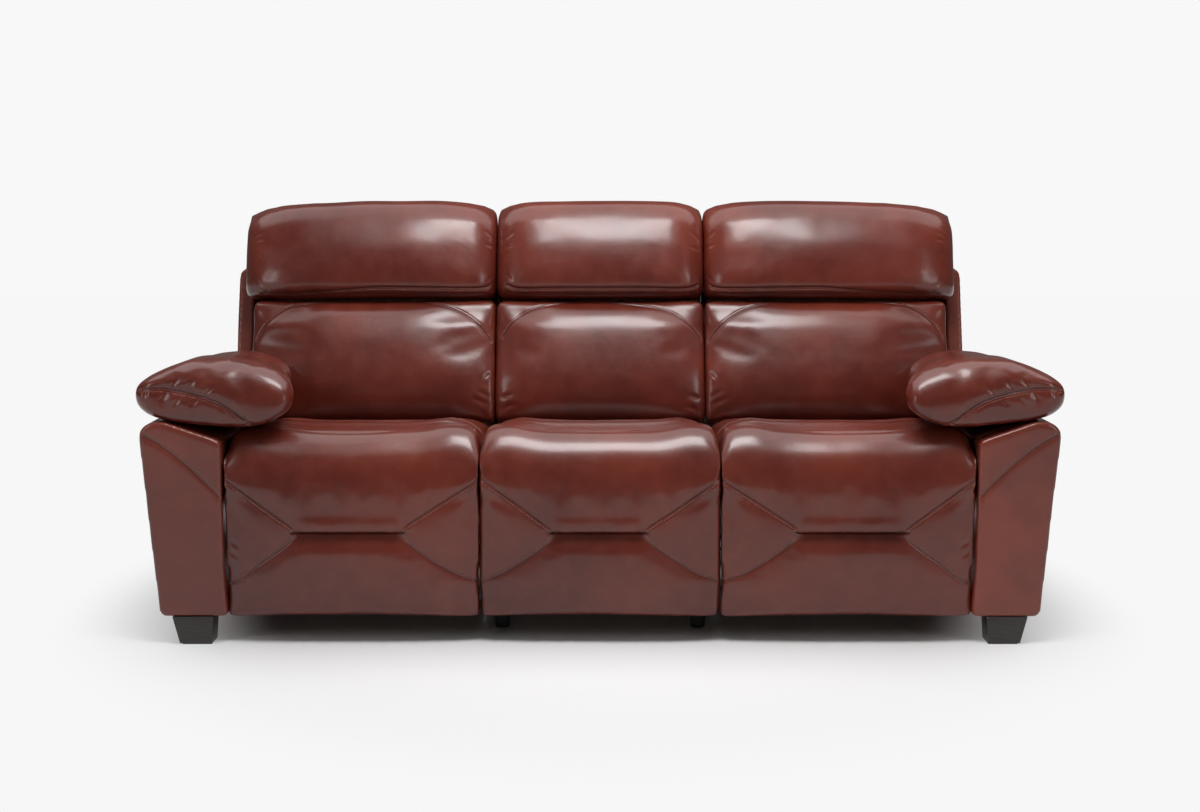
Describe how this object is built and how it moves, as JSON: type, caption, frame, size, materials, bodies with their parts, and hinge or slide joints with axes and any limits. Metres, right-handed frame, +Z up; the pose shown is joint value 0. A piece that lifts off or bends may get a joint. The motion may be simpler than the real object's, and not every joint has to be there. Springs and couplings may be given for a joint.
{
  "type": "three-seater reclining sofa",
  "caption": "Leather three-seater sofa with pillow arms and head cushions; both end seats recline and unfold a linked footrest, the middle seat is fixed.",
  "frame": {"origin": "on the floor under the middle of the sofa's box", "axes": "+Z up, -Y towards the front, +X to the right as seen from the front"},
  "size_m": [2.152, 0.9548, 1.0116],
  "materials": {
    "leather_cushion": "semi-gloss smooth leather over foam and fibre",
    "leather_cover": "semi-gloss smooth leather over thin padding",
    "hardwood": "planed",
    "plywood": "sanded",
    "black_steel": "black powder coat",
    "zinc_steel": "zinc plated",
    "spring_steel": "oiled wire",
    "webbing": "woven elastic",
    "foot_black": "black-brown satin stain",
    "glide_black": "black moulded plastic"
  },
  "bodies": {
    "base": {"front_base_rail": "black_steel", "rear_base_rail": "black_steel", "centre_legs": "glide_black", "left_front_foot": "foot_black", "left_rear_foot": "foot_black", "left_arm_frame": "hardwood", "left_arm_cover": "leather_cover", "left_arm_pillow": "leather_cushion", "left_side_plates": "black_steel", "left_seat_frame": "hardwood", "left_seat_springs": "spring_steel", "left_seat_cushion": "leather_cushion", "right_front_foot": "foot_black", "right_rear_foot": "foot_black", "right_arm_frame": "hardwood", "right_arm_cover": "leather_cover", "right_arm_pillow": "leather_cushion", "right_side_plates": "black_steel", "right_seat_frame": "hardwood", "right_seat_springs": "spring_steel", "right_seat_cushion": "leather_cushion", "centre_side_plates": "black_steel", "centre_seat_frame": "hardwood", "centre_seat_springs": "spring_steel", "centre_seat_cushion": "leather_cushion", "centre_front_board": "plywood", "centre_front_pad": "leather_cushion", "centre_back_frame": "hardwood", "centre_back_webbing": "webbing", "centre_back_shell": "leather_cover", "centre_lumbar_cushion": "leather_cushion", "centre_head_cushion": "leather_cushion"},
    "left_footrest": {"left_footrest_board": "plywood", "left_footrest_pad": "leather_cushion", "left_footrest_brackets": "zinc_steel"},
    "left_drive": {"left_drive_links": "black_steel"},
    "left_bars": {"left_front_links": "zinc_steel"},
    "left_back": {"left_back_frame": "hardwood", "left_back_webbing": "webbing", "left_back_shell": "leather_cover", "left_back_brackets": "zinc_steel", "left_lumbar_cushion": "leather_cushion", "left_head_cushion": "leather_cushion"},
    "left_handle": {"left_release_handle": "black_steel"},
    "right_footrest": {"right_footrest_board": "plywood", "right_footrest_pad": "leather_cushion", "right_footrest_brackets": "zinc_steel"},
    "right_drive": {"right_drive_links": "black_steel"},
    "right_bars": {"right_front_links": "zinc_steel"},
    "right_back": {"right_back_frame": "hardwood", "right_back_webbing": "webbing", "right_back_shell": "leather_cover", "right_back_brackets": "zinc_steel", "right_lumbar_cushion": "leather_cushion", "right_head_cushion": "leather_cushion"},
    "right_handle": {"right_release_handle": "black_steel"}
  },
  "joints": [
    {"name": "left_footrest_hinge", "type": "hinge", "parent": "base", "child": "left_footrest", "pos_m": [-0.5715, -0.43495, 0.4125], "axis": [-1, 0, 0], "range_deg": [0, 90]},
    {"name": "left_drive_pivot", "type": "hinge", "parent": "base", "child": "left_drive", "pos_m": [-0.5715, -0.26245, 0.305], "axis": [-1, 0, 0], "range_deg": [0, 90]},
    {"name": "left_elbow_pivot", "type": "hinge", "parent": "left_drive", "child": "left_bars", "pos_m": [-0.5715, -0.19995, 0.1275], "axis": [-1, 0, 0], "range_deg": [-90, 0]},
    {"name": "left_recline_hinge", "type": "hinge", "parent": "base", "child": "left_back", "pos_m": [-0.5715, 0.16555, 0.279], "axis": [-1, 0, 0], "range_deg": [0, 28]},
    {"name": "left_release_pivot", "type": "hinge", "parent": "base", "child": "left_handle", "pos_m": [-0.8637, -0.22745, 0.405], "axis": [-1, 0, 0], "range_deg": [-18, 0], "stiffness_Nm_per_rad": 0.8, "springref_deg": 6.88},
    {"name": "right_footrest_hinge", "type": "hinge", "parent": "base", "child": "right_footrest", "pos_m": [0.5715, -0.43495, 0.4125], "axis": [-1, 0, 0], "range_deg": [0, 90]},
    {"name": "right_drive_pivot", "type": "hinge", "parent": "base", "child": "right_drive", "pos_m": [0.5715, -0.26245, 0.305], "axis": [-1, 0, 0], "range_deg": [0, 90]},
    {"name": "right_elbow_pivot", "type": "hinge", "parent": "right_drive", "child": "right_bars", "pos_m": [0.5715, -0.19995, 0.1275], "axis": [-1, 0, 0], "range_deg": [-90, 0]},
    {"name": "right_recline_hinge", "type": "hinge", "parent": "base", "child": "right_back", "pos_m": [0.5715, 0.16555, 0.279], "axis": [-1, 0, 0], "range_deg": [0, 28]},
    {"name": "right_release_pivot", "type": "hinge", "parent": "base", "child": "right_handle", "pos_m": [0.8637, -0.22745, 0.405], "axis": [-1, 0, 0], "range_deg": [-18, 0], "stiffness_Nm_per_rad": 0.8, "springref_deg": 6.88}
  ],
  "couplings": [
    {"joint": "left_drive_pivot", "follows": "left_footrest_hinge", "ratio": 1},
    {"joint": "left_elbow_pivot", "follows": "left_footrest_hinge", "ratio": -1},
    {"joint": "right_drive_pivot", "follows": "right_footrest_hinge", "ratio": 1},
    {"joint": "right_elbow_pivot", "follows": "right_footrest_hinge", "ratio": -1}
  ]
}
